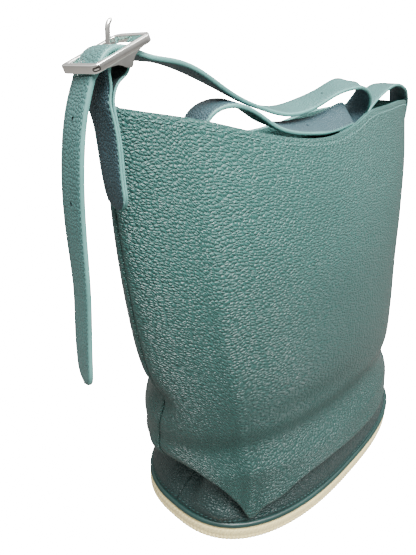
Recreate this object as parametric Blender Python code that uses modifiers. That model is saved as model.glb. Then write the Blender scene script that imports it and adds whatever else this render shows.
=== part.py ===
"""A slouchy leather bucket bag on a rope sole, with a buckled shoulder strap.

Metres, +Z up. The origin is the centre of the rope sole's flat underside. +X runs
along the bag's long side, away from the buckle, and the front panel faces -Y.
"""

import math

import bmesh
import bpy
import numpy as np
from mathutils import Matrix

# ---- driving dimensions ----
BASE_LENGTH = 0.280
BASE_DEPTH = 0.1516
BASE_POWER = 2.56
ROPE_HEIGHT = 0.0118
ROPE_OVERHANG = 0.0021
ROPE_EDGE = 0.0025
WELT_RADIUS = 0.0022
BAND_TOP = 0.046
RIM_HEIGHT = 0.301
LEATHER = 0.0020
FACING_LEATHER = 0.0012
FACING_HEIGHT = 0.028
BOARD_THICKNESS = 0.0020
BOARD_INSET = 0.0062
GAP = 0.0003
SEAM_HALF_GAP = 0.0006

STRAP_WIDTH = 0.0190
STRAP_LEATHER = 0.0026
TAB_LEATHER = 0.0014

BAR_CENTRE = (-0.1815, 0.0, 0.3220)
BAR_RADIUS = 0.0014
FRAME_TILT = math.radians(25.5)
FRAME_LENGTH = 0.0360
FRAME_DEPTH = 0.0272
FRAME_WIRE = 0.0030
FRAME_HEIGHT = 0.0036
FRAME_CORNER = 0.0028
FRAME_SHIFT = -0.0025
FRAME_RISE = 0.0030
LUG_LENGTH = 0.0062
PIN_RADIUS = 0.0011
PIN_LENGTH = 0.0165

SEWN_GAP = 0.0008

TAB_FOOT = 0.250
TAB_INNER_RADIUS = BAR_RADIUS + GAP
TAB_RADIUS = TAB_INNER_RADIUS + TAB_LEATHER / 2
TURN_RADIUS = TAB_INNER_RADIUS + TAB_LEATHER + GAP + STRAP_LEATHER / 2
TURN_END = (-0.1946, 0.0, 0.3125)
COLLAR_RADIUS = 0.0031
COLLAR_WIDTH = 0.0036
PIN_SLOT = 0.0075

# ---- proportions of the sewn body, by height ----
BODY_HEIGHTS = np.array([0.062, 0.080, 0.100, 0.125, 0.165, 0.210, 0.255, 0.301])
BODY_LEFT = np.array([0.1485, 0.1505, 0.1560, 0.1605, 0.1680, 0.1740, 0.1795, 0.1850])
BODY_RIGHT = np.array([0.1345, 0.1325, 0.1365, 0.1465, 0.1560, 0.1645, 0.1755, 0.1815])
BODY_HALF_DEPTH = np.array([0.0745, 0.0675, 0.0695, 0.0675, 0.0630, 0.0575, 0.0465, 0.0270])
BODY_POWER = np.array([2.60, 2.55, 2.45, 2.40, 2.30, 2.20, 2.15, 2.10])
BODY_ROUND = np.array([0.465, 0.515, 0.54, 0.62, 0.635, 0.62, 0.64, 0.725])
SEAM_LEFT = np.array([0.0015, 0.003, 0.0005, -0.002, 0.002, 0.005, 0.005, 0.0])
SEAM_RIGHT = np.array([0.002, 0.002, 0.003, 0.004, 0.005, 0.006, 0.007, 0.008])

# ---- the mouth's sagging edge, by place along X ----
RIM_PLACES = np.array([-0.187, -0.135, -0.097, -0.060, -0.025, 0.010, 0.043, 0.097, 0.144, 0.185])
RIM_FRONT = np.array([0.302, 0.2945, 0.287, 0.282, 0.2812, 0.286, 0.2942, 0.2988, 0.301, 0.298])
RIM_BACK = np.array([0.301, 0.290, 0.284, 0.280, 0.279, 0.283, 0.290, 0.296, 0.300, 0.298])

PANEL_ACROSS = 32
PANEL_RISES = (0.0, 0.075, 0.17, 0.29, 0.42, 0.56, 0.70, 0.83, 0.93, 1.0)
# the fold over the band, as (outward offset, height) from the seam up
FOLD = ((-0.0002, 0.0470), (0.0035, 0.0466), (0.0066, 0.0495), (0.0080, 0.0555))

# ---- colours ----
GREEN = (0.035, 0.105, 0.095, 1.0)
GREEN_DARK = (0.020, 0.065, 0.062, 1.0)
CREAM = (0.78, 0.70, 0.52, 1.0)
BOARD = (0.34, 0.26, 0.17, 1.0)
SILVER = (0.82, 0.81, 0.78, 1.0)


# ---- scene and materials ----
def clear_scene():
    for thing in list(bpy.data.objects):
        bpy.data.objects.remove(thing)


def collection(name):
    made = bpy.data.collections.new(name)
    bpy.context.scene.collection.children.link(made)
    return made


def material(name, colour, roughness, metallic=0.0):
    made = bpy.data.materials.new(name)
    made.use_nodes = True
    shader = made.node_tree.nodes["Principled BSDF"]
    shader.inputs["Base Color"].default_value = colour
    shader.inputs["Roughness"].default_value = roughness
    shader.inputs["Metallic"].default_value = metallic
    return made


def place(thing, look):
    PARTS.objects.link(thing)
    thing.data.materials.append(look)
    return thing


# ---- outlines of the base ----
def base_point(angle, offset, height):
    """A point on the base's rounded outline, moved out by offset."""
    c = math.cos(angle)
    s = math.sin(angle)
    x = (BASE_LENGTH / 2 + offset) * math.copysign(abs(c) ** (2 / BASE_POWER), c)
    y = (BASE_DEPTH / 2 + offset) * math.copysign(abs(s) ** (2 / BASE_POWER), s)
    return x, y, height


def base_outline(offset, height, count=72):
    return [base_point(math.tau * i / count, offset, height) for i in range(count)]


def closed_spline(data, points):
    spline = data.splines.new("POLY")
    spline.points.add(len(points) - 1)
    for slot, (x, y, z) in zip(spline.points, points):
        slot.co = (x, y, z, 1.0)
    spline.use_cyclic_u = True


def plate(name, offset, bottom, top, edge, look):
    """A flat pad with the base's outline and a rounded edge."""
    data = bpy.data.curves.new(name, "CURVE")
    data.dimensions = "2D"
    data.fill_mode = "BOTH"
    data.extrude = (top - bottom) / 2
    closed_spline(data, base_outline(offset, 0.0))
    thing = bpy.data.objects.new(name, data)
    thing.location.z = (bottom + top) / 2
    weld = thing.modifiers.new("weld", "WELD")
    weld.merge_threshold = 0.00001
    rounding = thing.modifiers.new("rounding", "BEVEL")
    rounding.width = edge
    rounding.segments = 2
    rounding.angle_limit = math.radians(50)
    return place(thing, look)


def ring(name, offset, height, radius, look):
    """A round cord that follows the base's outline."""
    data = bpy.data.curves.new(name, "CURVE")
    data.dimensions = "3D"
    data.bevel_depth = radius
    data.bevel_resolution = 2
    closed_spline(data, base_outline(offset, height))
    return place(bpy.data.objects.new(name, data), look)


# ---- sheets ----
def sheet(name, rows, thickness, look, offset=0.0):
    """A sheet of leather through rows of points, given its thickness by Solidify."""
    build = bmesh.new()
    grid = [[build.verts.new(p) for p in row] for row in rows]
    for low, high in zip(grid, grid[1:]):
        for i in range(len(low) - 1):
            build.faces.new((low[i], low[i + 1], high[i + 1], high[i]))
    mesh = bpy.data.meshes.new(name)
    build.to_mesh(mesh)
    build.free()
    thing = bpy.data.objects.new(name, mesh)
    shell = thing.modifiers.new("leather", "SOLIDIFY")
    shell.thickness = thickness
    shell.offset = offset
    shell.use_even_offset = True
    place(thing, look)
    mesh.shade_smooth()
    mesh.set_sharp_from_angle(angle=math.radians(40))
    return thing


def smooth(at, places, values):
    """Reads a value between stated ones, eased by a cubic through them."""
    at = min(max(at, places[0]), places[-1])
    i = min(int(np.searchsorted(places, at, side="right")) - 1, len(values) - 2)
    slopes = np.gradient(values, places)
    step = places[i + 1] - places[i]
    t = (at - places[i]) / step
    a = 2 * t**3 - 3 * t**2 + 1
    b = t**3 - 2 * t**2 + t
    c = -2 * t**3 + 3 * t**2
    d = t**3 - t**2
    start = a * values[i] + b * step * slopes[i]
    return float(start + c * values[i + 1] + d * step * slopes[i + 1])


def smooth_value(height, values):
    return smooth(height, BODY_HEIGHTS, values)


def body_xy(share, height, side):
    """A point of the body's section: share runs from the left end, 0, to the right, 1."""
    c = -math.cos(math.pi * share)
    ends = BODY_LEFT if c < 0 else BODY_RIGHT
    x = c * smooth_value(height, ends)
    curve = max(0.0, 1.0 - abs(c) ** smooth_value(height, BODY_POWER))
    reach = curve ** smooth_value(height, BODY_ROUND)
    depth = SEAM_HALF_GAP + (smooth_value(height, BODY_HALF_DEPTH) - SEAM_HALF_GAP) * reach
    if 0.0 < share < 1.0:
        depth = max(depth, LEATHER + 0.0016)
    left = smooth_value(height, SEAM_LEFT)
    right = smooth_value(height, SEAM_RIGHT)
    middle = left + (right - left) * (1 + c) / 2
    return x, middle + side * depth


def band_xy(share, offset, side):
    """The same, on the base's outline."""
    angle = math.pi * (1.0 - share)
    x, y, _ = base_point(angle, offset, 0.0)
    return x, side * max(abs(y), SEAM_HALF_GAP)


def rim_height(x, side):
    """The mouth sags between the two ends."""
    return smooth(x, RIM_PLACES, RIM_FRONT if side < 0 else RIM_BACK)


def inset_row(points, distance):
    """Moves a row of points inwards, square to its own run."""
    moved = []
    for i, (x, y, z) in enumerate(points):
        ax, ay, _ = points[max(i - 1, 0)]
        bx, by, _ = points[min(i + 1, len(points) - 1)]
        length = math.hypot(bx - ax, by - ay)
        nx = -(by - ay) / length
        ny = (bx - ax) / length
        if nx * x + ny * y > 0:
            nx, ny = -nx, -ny
        moved.append((x + nx * distance, y + ny * distance, z))
    return moved


def facing_out(rows, side):
    """Rows in the order that makes the sheet's outer face point away from the bag."""
    return rows if side < 0 else rows[::-1]


def panel(name, side, look):
    """A body panel: sewn to the band, folded over it, and up to the rim."""
    shares = [i / PANEL_ACROSS for i in range(PANEL_ACROSS + 1)]
    rows = []
    for offset, height in FOLD:
        row = []
        for share in shares:
            slack = 1.0 - 0.65 * share
            x, y = band_xy(share, offset * slack, side)
            row.append((x, y, height))
        rows.append(row)
    for rise in PANEL_RISES:
        row = []
        for share in shares:
            x_top, _ = body_xy(share, RIM_HEIGHT, side)
            top = rim_height(x_top, side)
            height = BODY_HEIGHTS[0] + rise * (top - BODY_HEIGHTS[0])
            x, y = body_xy(share, height, side)
            row.append((x, y, height))
        rows.append(row)
    return sheet(name, facing_out(rows, side), LEATHER, look, offset=-1.0)


def facing(name, side, look):
    """The strip sewn inside the rim."""
    rows = []
    for level in (-FACING_HEIGHT, -FACING_HEIGHT / 2, -0.0012):
        row = []
        for i in range(3, PANEL_ACROSS - 2):
            share = i / PANEL_ACROSS
            x_top, _ = body_xy(share, RIM_HEIGHT, side)
            height = rim_height(x_top, side) + level
            x, y = body_xy(share, height, side)
            row.append((x, y, height))
        rows.append(inset_row(row, LEATHER + 0.0008))
    return sheet(name, facing_out(rows, side), FACING_LEATHER, look, offset=-1.0)


def band(name, side, look):
    """Half of the upright band that stands on the welt."""
    rows = []
    for offset, height in ((-0.0006, 0.0169), (0.0, 0.030), (-0.0006, BAND_TOP)):
        row = []
        for i in range(PANEL_ACROSS + 1):
            x, y = band_xy(i / PANEL_ACROSS, offset, side)
            row.append((x, y, height))
        rows.append(row)
    return sheet(name, facing_out(rows, side), LEATHER, look, offset=-1.0)


# ---- straps ----
def eased(points, spacing):
    """Points along a smooth curve through the route's own points."""
    p = np.array(points, float)
    p = np.vstack([2 * p[0] - p[1], p, 2 * p[-1] - p[-2]])
    out = []
    for i in range(1, len(p) - 2):
        a, b, c, d = p[i - 1], p[i], p[i + 1], p[i + 2]
        count = max(1, round(float(np.linalg.norm(c[:3] - b[:3])) / spacing))
        for k in range(count):
            t = k / count
            out.append(
                0.5
                * (
                    2 * b
                    + (c - a) * t
                    + (2 * a - 5 * b + 4 * c - d) * t**2
                    + (3 * b - a - 3 * c + d) * t**3
                )
            )
    out.append(p[-2])
    return np.array(out)


def strap(name, route, spacing, thickness, half_width, look):
    """A flat strap along a route of (x, y, z, bank), whose width lies along Y at no bank."""
    line = eased(route, spacing)
    along = np.gradient(line[:, :3], axis=0)
    along /= np.linalg.norm(along, axis=1)[:, None]
    rows = []
    for i, (point, way) in enumerate(zip(line, along)):
        across = np.array((0.0, 1.0, 0.0)) - way[1] * way
        across /= np.linalg.norm(across)
        up = np.cross(way, across)
        bank = point[3]
        wide = math.cos(bank) * across + math.sin(bank) * up
        half = half_width(i, line)
        rows.append([tuple(point[:3] + side * half * wide) for side in (-1, 0, 1)])
    return sheet(name, rows, thickness, look)


def distances(line):
    steps = np.linalg.norm(np.diff(line[:, :3], axis=0), axis=1)
    return np.concatenate([[0.0], np.cumsum(steps)])


def rounded_last(i, line):
    """Half the strap's width, rounded off over its last stretch."""
    left = distances(line)[-1] - distances(line)[i]
    return end_half_width(left)


def rounded_both(i, line):
    run = distances(line)
    return end_half_width(min(run[i], run[-1] - run[i]))


def end_half_width(left):
    full = STRAP_WIDTH / 2
    if left >= full:
        return full
    return max(0.0025, math.sqrt(full**2 - (full - left) ** 2))


def full_width(i, line):
    return STRAP_WIDTH / 2


def body_end(height, side):
    """How far the sewn body reaches along X at a height."""
    return smooth_value(height, BODY_LEFT if side < 0 else BODY_RIGHT)


def around_bar(radius, first, last, count):
    """Points on an arc round the buckle's bar. Angles run from +X towards +Z."""
    angles = np.radians(np.linspace(first, last, count))
    x, y, z = BAR_CENTRE
    return [(x + radius * math.cos(a), y, z + radius * math.sin(a), 0.0) for a in angles]


def tab_route():
    """Up the inner leg, round the bar, and down the outer leg outside the bag."""
    inner = SEWN_GAP + TAB_LEATHER / 2
    outer = inner + TAB_LEATHER + GAP
    levels = (
        (TAB_FOOT, -0.0055),
        (0.263, -0.0044),
        (0.277, -0.0028),
        (0.290, -0.0010),
        (0.302, 0.0),
    )
    up = [(-body_end(z, -1) - inner, y, z, 0.0) for z, y in levels]
    down = [(-body_end(z, -1) - outer, y, z, 0.0) for z, y in reversed(levels)]
    pinch_up = (-0.1850, 0.0, 0.3085, 0.0)
    pinch_down = (-0.1870, 0.0, 0.3095, 0.0)
    return (
        [*up, pinch_up, (-0.1805, 0.0, 0.3145, 0.0)]
        + around_bar(TAB_RADIUS, -25, 205, 8)
        + [(-0.1851, 0.0, 0.3155, 0.0), pinch_down, *down]
    )


def turn_route():
    """From under the far end bar, over the bar, and behind the near end bar."""
    return (
        [(-0.1664, 0.0, 0.3253, 0.0), (-0.1700, 0.0, 0.3262, 0.0)]
        + [(-0.1760, 0.0, 0.3268, 0.0)]
        + around_bar(TURN_RADIUS, 82, 112, 3)
        + [(-0.1880, 0.0, 0.3235, 0.0), (-0.1921, 0.0, 0.3185, 0.0), (*TURN_END, 0.0)]
    )


def tail_route():
    """The free end, hanging from the near end bar."""
    return [
        (-0.1954, 0.0000, 0.3109, 0.0),
        (-0.1988, 0.0006, 0.3030, 0.08),
        (-0.2028, 0.0007, 0.2830, 0.09),
        (-0.2050, 0.0010, 0.2480, 0.09),
        (-0.2050, 0.0014, 0.2120, 0.14),
        (-0.2053, 0.0025, 0.1830, 0.19),
        (-0.2056, 0.0030, 0.1565, 0.25),
    ]


def main_strap_route():
    """From the buckle over the mouth, back in a curl, down inside, and out at the right."""
    over = [
        (-0.1638, 0.000, 0.3248, 0.0),
        (-0.140, -0.002, 0.3200, 0.0),
        (-0.106, -0.003, 0.3088, 0.25),
        (-0.079, -0.004, 0.3003, 0.2),
        (-0.051, -0.006, 0.2963, 0.2),
        (-0.026, -0.008, 0.3004, 0.2),
        (-0.002, -0.011, 0.3089, 0.15),
        (0.017, -0.013, 0.3135, 0.3),
        (0.035, -0.013, 0.3122, 0.3),
    ]
    curl = [(0.052, -0.011, 0.3040, 0.35), (0.055, -0.008, 0.2930, -0.2)]
    back = [
        (0.040, -0.008, 0.2885, -0.6),
        (0.013, -0.0165, 0.2918, -0.8),
        (-0.013, -0.0163, 0.2888, -0.6),
        (-0.040, -0.0140, 0.2870, -0.4),
        (-0.072, -0.011, 0.2900, -0.2),
        (-0.104, -0.007, 0.3020, -0.1),
        (-0.121, -0.003, 0.2980, 0.0),
    ]
    inside = [
        (-0.129, 0.003, 0.2745, 0.0),
        (-0.126, 0.005, 0.2540, 0.0),
        (-0.108, 0.007, 0.2380, 0.0),
        (-0.075, 0.008, 0.2300, 0.0),
        (-0.035, 0.008, 0.2290, 0.0),
        (0.005, 0.007, 0.2340, 0.0),
        (0.036, 0.006, 0.2450, -0.1),
        (0.060, 0.005, 0.2620, -0.15),
    ]
    out = [
        (0.073, 0.005, 0.2788, -0.15),
        (0.087, 0.005, 0.2940, -0.1),
        (0.108, 0.005, 0.3078, 0.1),
        (0.133, 0.005, 0.3140, 0.05),
        (0.154, 0.0065, 0.3135, 0.05),
        (0.170, 0.008, 0.3105, 0.0),
        (0.1815, 0.009, 0.3040, 0.0),
    ]
    clear = SEWN_GAP + STRAP_LEATHER / 2
    foot = [(body_end(z, 1) + clear, 0.009, z, 0.0) for z in (0.296, 0.286, 0.271, 0.256)]
    return over + curl + back + inside + out + foot


# ---- buckle ----
def tilted(thing):
    """Puts a piece modelled round the buckle's own centre into its place."""
    turn = Matrix.Rotation(-FRAME_TILT, 4, "Y")
    thing.matrix_world = Matrix.Translation(BAR_CENTRE) @ turn
    return thing


def rounded_rectangle(length, depth, corner, steps=4):
    points = []
    for quarter in range(4):
        cx = (length / 2 - corner) * (1 if quarter in (0, 3) else -1)
        cy = (depth / 2 - corner) * (1 if quarter in (0, 1) else -1)
        for k in range(steps + 1):
            angle = math.pi / 2 * (quarter + k / steps)
            points.append((cx + corner * math.cos(angle), cy + corner * math.sin(angle), 0.0))
    return points


def curve_to_mesh(thing):
    """The curve object's evaluated mesh in a new object, with its caps welded."""
    graph = bpy.context.evaluated_depsgraph_get()
    mesh = bpy.data.meshes.new_from_object(thing.evaluated_get(graph))
    build = bmesh.new()
    build.from_mesh(mesh)
    bmesh.ops.remove_doubles(build, verts=build.verts, dist=0.000001)
    build.to_mesh(mesh)
    build.free()
    made = bpy.data.objects.new(thing.name + "_mesh", mesh)
    made.matrix_world = thing.matrix_world.copy()
    bpy.data.objects.remove(thing)
    return made


def box(name, size, centre, home):
    """A plain block in the buckle's own directions."""
    build = bmesh.new()
    bmesh.ops.create_cube(build, size=1.0, matrix=Matrix.Diagonal((*size, 1.0)))
    bmesh.ops.translate(build, verts=build.verts, vec=centre)
    mesh = bpy.data.meshes.new(name)
    build.to_mesh(mesh)
    build.free()
    made = bpy.data.objects.new(name, mesh)
    home.objects.link(made)
    return made


def rod(name, radius, start, length, axis, home, sides=16):
    """A round bar from start, along Y or Z."""
    build = bmesh.new()
    bmesh.ops.create_cone(
        build, cap_ends=True, segments=sides, radius1=radius, radius2=radius, depth=length
    )
    if axis == "Y":
        bmesh.ops.rotate(build, verts=build.verts, matrix=Matrix.Rotation(-math.pi / 2, 3, "X"))
        centre = (start[0], start[1] + length / 2, start[2])
    else:
        centre = (start[0], start[1], start[2] + length / 2)
    bmesh.ops.translate(build, verts=build.verts, vec=centre)
    mesh = bpy.data.meshes.new(name)
    build.to_mesh(mesh)
    build.free()
    mesh.shade_smooth()
    mesh.set_sharp_from_angle(angle=math.radians(40))
    made = bpy.data.objects.new(name, mesh)
    home.objects.link(made)
    return made


def as_cutter(thing):
    thing.hide_render = True
    thing.display_type = "WIRE"
    return thing


def boolean(thing, other, operation):
    step = thing.modifiers.new(operation.lower(), "BOOLEAN")
    step.operation = operation
    step.object = other
    return step


def buckle_frame(look):
    """A flat rectangular ring whose side rails carry lugs for the bar."""
    data = bpy.data.curves.new("frame_outline", "CURVE")
    data.dimensions = "2D"
    data.fill_mode = "BOTH"
    data.extrude = FRAME_HEIGHT / 2
    closed_spline(data, rounded_rectangle(FRAME_LENGTH, FRAME_DEPTH, FRAME_CORNER))
    window = (FRAME_LENGTH - 2 * FRAME_WIRE, FRAME_DEPTH - 2 * FRAME_WIRE)
    closed_spline(data, rounded_rectangle(*window, 0.0008, 2))
    outline = bpy.data.objects.new("frame_outline", data)
    bpy.context.scene.collection.objects.link(outline)
    bpy.context.view_layer.update()
    frame = curve_to_mesh(outline)
    frame.name = "buckle_frame"
    frame.data.transform(Matrix.Translation((FRAME_SHIFT, 0.0, FRAME_RISE)))
    place(frame, look)
    tilted(frame)
    lug_height = FRAME_RISE + BAR_RADIUS + 0.0012
    for side in (-1, 1):
        middle = side * (FRAME_DEPTH - FRAME_WIRE) / 2
        size = (LUG_LENGTH, FRAME_WIRE - 0.0004, lug_height)
        lug = box(f"lug_{side}", size, (0.0, middle, FRAME_RISE - lug_height / 2), CUTTERS)
        tilted(as_cutter(lug))
        boolean(frame, lug, "UNION")
    hole = rod("bar_hole", BAR_RADIUS + GAP, (0, -0.02, 0), 0.04, "Y", CUTTERS)
    tilted(as_cutter(hole))
    boolean(frame, hole, "DIFFERENCE")
    frame.data.shade_smooth()
    frame.data.set_sharp_from_angle(angle=math.radians(40))
    return frame


def buckle_bar(look):
    """The bar across the middle, held in the lugs."""
    length = FRAME_DEPTH - 0.0004
    bar = rod("buckle_bar", BAR_RADIUS, (0.0, -length / 2, 0.0), length, "Y", PARTS, 20)
    bar.data.materials.append(look)
    return tilted(bar)


def prong(look):
    """The pin on its collar. It stands up through the strap and its tip leans over."""
    collar = rod("prong", COLLAR_RADIUS, (0, -COLLAR_WIDTH / 2, 0), COLLAR_WIDTH, "Y", PARTS, 20)
    collar.data.materials.append(look)
    collar.location = BAR_CENTRE
    data = bpy.data.curves.new("pin", "CURVE")
    data.dimensions = "3D"
    data.bevel_depth = PIN_RADIUS
    data.bevel_resolution = 2
    data.use_fill_caps = True
    spline = data.splines.new("POLY")
    path = pin_points()
    spline.points.add(len(path) - 1)
    for slot, (x, z) in zip(spline.points, path):
        slot.co = (x, 0.0, z, 1.0)
    outline = bpy.data.objects.new("pin", data)
    bpy.context.scene.collection.objects.link(outline)
    outline.location = BAR_CENTRE
    bpy.context.view_layer.update()
    pin = curve_to_mesh(outline)
    CUTTERS.objects.link(pin)
    boolean(collar, as_cutter(pin), "UNION")
    bore = rod("prong_bore", BAR_RADIUS + GAP, (0, -0.01, 0), 0.02, "Y", CUTTERS)
    as_cutter(bore).location = BAR_CENTRE
    boolean(collar, bore, "DIFFERENCE")
    return collar


def pin_points():
    """Straight up from the collar, then a short bend at the tip."""
    straight = [(0.0, 0.0022), (0.0, 0.0080), (0.0, PIN_LENGTH - 0.0040)]
    bend = []
    for k in range(1, 6):
        angle = math.radians(60) * k / 5
        x = 0.0036 * (1 - math.cos(angle))
        bend.append((x, PIN_LENGTH - 0.0040 + 0.0036 * math.sin(angle)))
    return straight + bend


def cut_slots(tab, turn):
    """The slot in the tab for the collar, and the one in the strap for the pin."""
    wide = (0.0110, COLLAR_WIDTH + 0.0010, 0.0100)
    tab_slot = box("tab_slot", wide, (0.0, 0.0, 0.0008), CUTTERS)
    as_cutter(tab_slot).location = BAR_CENTRE
    boolean(tab, tab_slot, "DIFFERENCE")
    start = -PIN_RADIUS - 0.0008
    length = PIN_SLOT - start
    pin_slot = box(
        "pin_slot",
        (length, 2 * PIN_RADIUS + 0.0008, 0.0080),
        (start + length / 2, 0.0, TURN_RADIUS - 0.0006),
        CUTTERS,
    )
    as_cutter(pin_slot).location = BAR_CENTRE
    boolean(turn, pin_slot, "DIFFERENCE")
    collar_room = rod("collar_room", COLLAR_RADIUS + 0.0004, (0, -0.0023, 0), 0.0046, "Y", CUTTERS)
    as_cutter(collar_room).location = BAR_CENTRE
    boolean(turn, collar_room, "DIFFERENCE")


# ---- build ----
clear_scene()
PARTS = collection("bucket_bag")
CUTTERS = collection("cutters")
bpy.context.scene.collection.children[CUTTERS.name].hide_render = True

leather = material("pebbled_leather", GREEN, 0.45)
band_leather = material("band_leather", GREEN_DARK, 0.50)
welt_leather = material("welt_leather", GREEN, 0.40)
strap_leather = material("strap_leather", GREEN, 0.42)
lining_leather = material("lining_leather", GREEN_DARK, 0.70)
rope = material("rope", CREAM, 0.90)
fibreboard = material("fibreboard", BOARD, 0.90)
metal = material("polished_metal", SILVER, 0.12, metallic=1.0)

plate("rope_sole", ROPE_OVERHANG, 0.0, ROPE_HEIGHT, ROPE_EDGE, rope)
board_bottom = ROPE_HEIGHT + GAP
plate("base_board", -BOARD_INSET, board_bottom, board_bottom + BOARD_THICKNESS, 0.0005, fibreboard)
lining_bottom = board_bottom + BOARD_THICKNESS + GAP
plate("floor_lining", -BOARD_INSET, lining_bottom, lining_bottom + 0.0016, 0.0004, lining_leather)
ring("welt", -0.0004, ROPE_HEIGHT + GAP + WELT_RADIUS, WELT_RADIUS, welt_leather)
for name, side in (("front", -1), ("back", 1)):
    band(f"band_{name}", side, band_leather)
    panel(f"{name}_panel", side, leather)
    facing(f"facing_{name}", side, lining_leather)

tab_piece = strap("buckle_tab", tab_route(), 0.0040, TAB_LEATHER, rounded_both, strap_leather)
turn_piece = strap("strap_turn", turn_route(), 0.0035, STRAP_LEATHER, full_width, strap_leather)
cut_slots(tab_piece, turn_piece)
strap("strap_tail", tail_route(), 0.0100, STRAP_LEATHER, rounded_last, strap_leather)
strap("shoulder_strap", main_strap_route(), 0.0080, STRAP_LEATHER, rounded_last, strap_leather)
buckle_frame(metal)
buckle_bar(metal)
prong(metal)
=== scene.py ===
"""The bucket bag's looks: pebbled leather, sewn straps, braided sole and polished buckle."""

import math

import bmesh
import bpy
import numpy as np
from mathutils import Matrix, Vector


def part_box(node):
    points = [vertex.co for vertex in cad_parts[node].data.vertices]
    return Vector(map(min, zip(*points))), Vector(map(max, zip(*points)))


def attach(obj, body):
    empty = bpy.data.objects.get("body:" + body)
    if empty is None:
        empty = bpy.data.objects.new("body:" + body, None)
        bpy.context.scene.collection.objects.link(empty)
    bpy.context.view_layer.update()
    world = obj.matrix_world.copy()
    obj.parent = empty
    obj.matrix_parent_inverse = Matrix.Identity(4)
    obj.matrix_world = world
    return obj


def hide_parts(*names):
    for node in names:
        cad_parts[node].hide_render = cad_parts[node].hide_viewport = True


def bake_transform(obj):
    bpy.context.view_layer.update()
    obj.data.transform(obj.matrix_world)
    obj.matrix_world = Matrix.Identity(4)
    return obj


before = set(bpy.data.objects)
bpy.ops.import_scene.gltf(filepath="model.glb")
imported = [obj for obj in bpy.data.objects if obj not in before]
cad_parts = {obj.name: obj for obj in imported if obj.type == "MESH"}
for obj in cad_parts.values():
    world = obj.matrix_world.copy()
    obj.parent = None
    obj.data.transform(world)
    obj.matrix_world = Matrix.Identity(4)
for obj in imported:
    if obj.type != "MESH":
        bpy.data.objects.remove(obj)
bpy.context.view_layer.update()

# ---- sizes that the pieces share, in metres ----
BASE_LENGTH = 0.280
BASE_DEPTH = 0.1516
BASE_POWER = 2.56
SOLE_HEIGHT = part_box("rope_sole")[1].z
SOLE_OVERHANG = 0.0021
WELT_RADIUS = 0.0022
SEAM_HEIGHT = 0.058
RIM_HEIGHT = 0.301
LEATHER = 0.0020
STRAP_WIDTH = 0.0192
STRAP_LEATHER = 0.0026
BAND_LEATHER = 0.0016
FACING_LEATHER = 0.0012
TAB_LEATHER = 0.0014
RIM_PITCH = 0.0040
RIM_STITCH_DROP = 0.0042
WELT_PITCH = 0.0036
STRAP_PITCH = 0.0028
STITCH_SHARE = 0.87
STITCH_GROOVE = 0.00022
HOLE_RADIUS = 0.0009
ROPE_PITCH = 0.0030
ROPE_COURSE = 0.42

# the body's sections by height: reach left and right, half depth, outline power and end rounding
BODY_HEIGHTS = np.array([0.062, 0.080, 0.100, 0.125, 0.165, 0.210, 0.255, 0.301])
BODY_LEFT = np.array([0.1485, 0.1505, 0.1560, 0.1605, 0.1680, 0.1740, 0.1795, 0.1850])
BODY_RIGHT = np.array([0.1345, 0.1325, 0.1365, 0.1465, 0.1560, 0.1645, 0.1755, 0.1815])
BODY_HALF_DEPTH = np.array([0.0745, 0.0675, 0.0695, 0.0675, 0.0630, 0.0575, 0.0465, 0.0270])
BODY_POWER = np.array([2.60, 2.55, 2.45, 2.40, 2.30, 2.20, 2.15, 2.10])
BODY_ROUND = np.array([0.465, 0.515, 0.54, 0.62, 0.635, 0.62, 0.64, 0.725])
SEAM_LEFT = np.array([0.0015, 0.003, 0.0005, -0.002, 0.002, 0.005, 0.005, 0.0])
SEAM_RIGHT = np.array([0.002, 0.002, 0.003, 0.004, 0.005, 0.006, 0.007, 0.008])
# how low the slack leather hangs, and how far out, from the left seam (0) to the right (1)
FOLD_SHARES = np.array(
    [0.0, 0.05, 0.10, 0.135, 0.165, 0.188, 0.215, 0.25, 0.29, 0.34, 0.42, 0.52, 0.62, 0.80, 1.0]
)
FOLD_FRONT = np.array([64, 62, 56, 50.5, 42.5, 34.5, 22, 30.5, 35.5, 45, 49, 46.5, 47, 28, 38]) / 1000
FOLD_BACK = np.array([62, 62, 60, 59, 58, 57, 56, 56, 56, 56, 56, 56, 52, 44, 40]) / 1000
OUT_SHARES = np.array([0.0, 0.20, 0.40, 0.55, 0.68, 0.80, 0.90, 1.0])
FOLD_OUT = np.array([3.5, 4.0, 5.0, 4.0, -4.0, -4.5, -4.0, -2.0]) / 1000
FOLD_OUT_BACK = np.array([4.0, 4.0, 3.0, 2.0, 1.0, 0.0, -2.0, -2.0]) / 1000
LIP = 0.0042
ROLL_HEIGHT = 0.0050
PANEL_ACROSS = 150
PANEL_UP = 90
PANEL_ROLL = 10
SEAM_ROUND = 0.0021
BAND_SEAM_ROUND = 0.0010
BAND_BULGE = 0.0042
BAND_SEAM_SLANT = 0.0080
BAND_SHARES = np.array([0.0, 0.05, 0.10, 0.15, 0.20, 0.30, 0.50, 0.80, 1.0])
BAND_LEAN_FRONT = np.array([-8.0, -7.0, -4.0, -2.0, -2.0, -2.0, -2.0, -2.0, -2.0]) / 1000
BAND_LEAN_BACK = np.array([-8.0, -6.0, -2.0, 0.0, 0.0, 0.0, 0.0, -1.0, -2.0]) / 1000
# pinches at the left seam: (height, tall, wide, inward, backward)
NIPS_LEFT = [(0.1195, 0.014, 0.060, 0.0056, -0.0017), (0.067, 0.0135, 0.060, -0.0120, 0.0040)]
# (x, z, spread x, spread z, height)
DENTS_FRONT = ((0.105, 0.068, 0.040, 0.010, -0.0041), (-0.060, 0.105, 0.060, 0.010, -0.0020))
DENTS_BACK = ((-0.115, 0.045, 0.035, 0.020, -0.0008), (-0.150, 0.120, 0.020, 0.015, -0.0038))
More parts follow.
